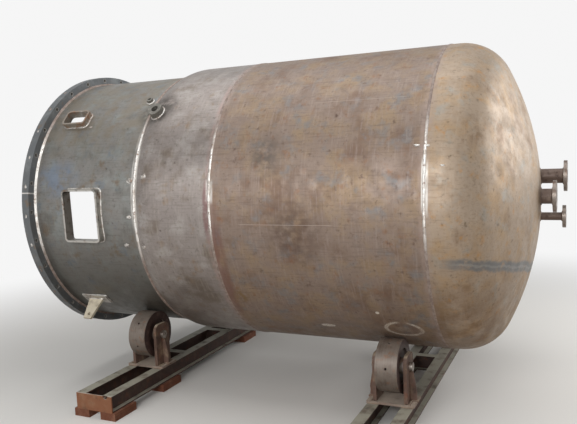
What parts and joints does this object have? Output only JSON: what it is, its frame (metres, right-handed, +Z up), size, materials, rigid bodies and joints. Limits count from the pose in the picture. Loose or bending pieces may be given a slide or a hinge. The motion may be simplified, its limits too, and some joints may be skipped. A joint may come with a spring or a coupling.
{
  "type": "skirted pressure vessel on turning rolls",
  "caption": "Steel pressure vessel with dished ends and a bolted support skirt, lying on its side on two pairs of idler rollers in steel beam stands.",
  "frame": {"origin": "on the floor, under the middle of the assembly's box", "axes": "+X along the vessel towards the crown head, +Y to the far side, +Z up"},
  "size_m": [3.239, 2.28, 2.1419],
  "materials": {
    "roller_steel": "worn machined tread, dusty",
    "axle_steel": "dull turned steel",
    "seat_plate": "worn bare plate",
    "timber": "weathered hardwood",
    "stand_paint": "worn red oxide paint over rust",
    "weld_bead": "ground weld",
    "skirt_scale": "dark mill scale",
    "bottom_head_scale": "grey tan mill scale",
    "shell_rust": "brown rust on bare plate",
    "crown_rust": "orange rust on bare plate",
    "cut_plate": "ground cut plate",
    "lug_plate": "pale primer",
    "nozzle_steel": "rusty forged steel"
  },
  "bodies": {
    "stands": {"skirt_stand_rails": "stand_paint", "skirt_stand_braces": "stand_paint", "skirt_stand_ends": "stand_paint", "skirt_stand_seats": "seat_plate", "skirt_stand_blocks": "timber", "skirt_stand_brackets": "stand_paint", "skirt_stand_axles": "axle_steel", "shell_stand_rails": "stand_paint", "shell_stand_braces": "stand_paint", "shell_stand_ends": "stand_paint", "shell_stand_seats": "seat_plate", "shell_stand_brackets": "stand_paint", "shell_stand_axles": "axle_steel"},
    "vessel": {"base_ring": "skirt_scale", "backing_ring": "skirt_scale", "base_ring_weld": "weld_bead", "skirt": "skirt_scale", "skirt_weld": "weld_bead", "bottom_head": "bottom_head_scale", "bottom_seam_weld": "weld_bead", "shell_course": "shell_rust", "crown_seam_weld": "weld_bead", "crown_head": "crown_rust", "access_frame": "cut_plate", "vent_frame": "cut_plate", "vent_stub": "nozzle_steel", "side_coupling": "nozzle_steel", "lug_pad": "cut_plate", "lug_plate": "lug_plate", "centre_nozzle_neck": "nozzle_steel", "centre_nozzle_flange": "nozzle_steel", "upper_nozzle_neck": "nozzle_steel", "upper_nozzle_flange": "nozzle_steel", "lower_nozzle_neck": "nozzle_steel", "lower_nozzle_flange": "nozzle_steel", "bottom_nozzle_neck": "nozzle_steel", "bottom_nozzle_flange": "nozzle_steel"},
    "skirt_roller_near": {"skirt_roller_near": "roller_steel"},
    "skirt_roller_far": {"skirt_roller_far": "roller_steel"},
    "shell_roller_near": {"shell_roller_near": "roller_steel"},
    "shell_roller_far": {"shell_roller_far": "roller_steel"}
  },
  "joints": [
    {"name": "vessel_turn", "type": "hinge", "parent": "stands", "child": "vessel", "pos_m": [0, 0, 1.21444], "axis": [1, 0, 0], "continuous": true},
    {"name": "skirt_roller_near_spin", "type": "hinge", "parent": "stands", "child": "skirt_roller_near", "pos_m": [-0.9465, -0.555, 0.3583], "axis": [1, 0, 0], "continuous": true},
    {"name": "skirt_roller_far_spin", "type": "hinge", "parent": "stands", "child": "skirt_roller_far", "pos_m": [-0.9465, 0.555, 0.3583], "axis": [1, 0, 0], "continuous": true},
    {"name": "shell_roller_near_spin", "type": "hinge", "parent": "stands", "child": "shell_roller_near", "pos_m": [0.7275, -0.555, 0.311], "axis": [1, 0, 0], "continuous": true},
    {"name": "shell_roller_far_spin", "type": "hinge", "parent": "stands", "child": "shell_roller_far", "pos_m": [0.7275, 0.555, 0.311], "axis": [1, 0, 0], "continuous": true}
  ],
  "couplings": [
    {"joint": "skirt_roller_near_spin", "follows": "vessel_turn", "ratio": -5.8},
    {"joint": "skirt_roller_far_spin", "follows": "vessel_turn", "ratio": -5.8},
    {"joint": "shell_roller_near_spin", "follows": "vessel_turn", "ratio": -6.0667},
    {"joint": "shell_roller_far_spin", "follows": "vessel_turn", "ratio": -6.0667}
  ]
}
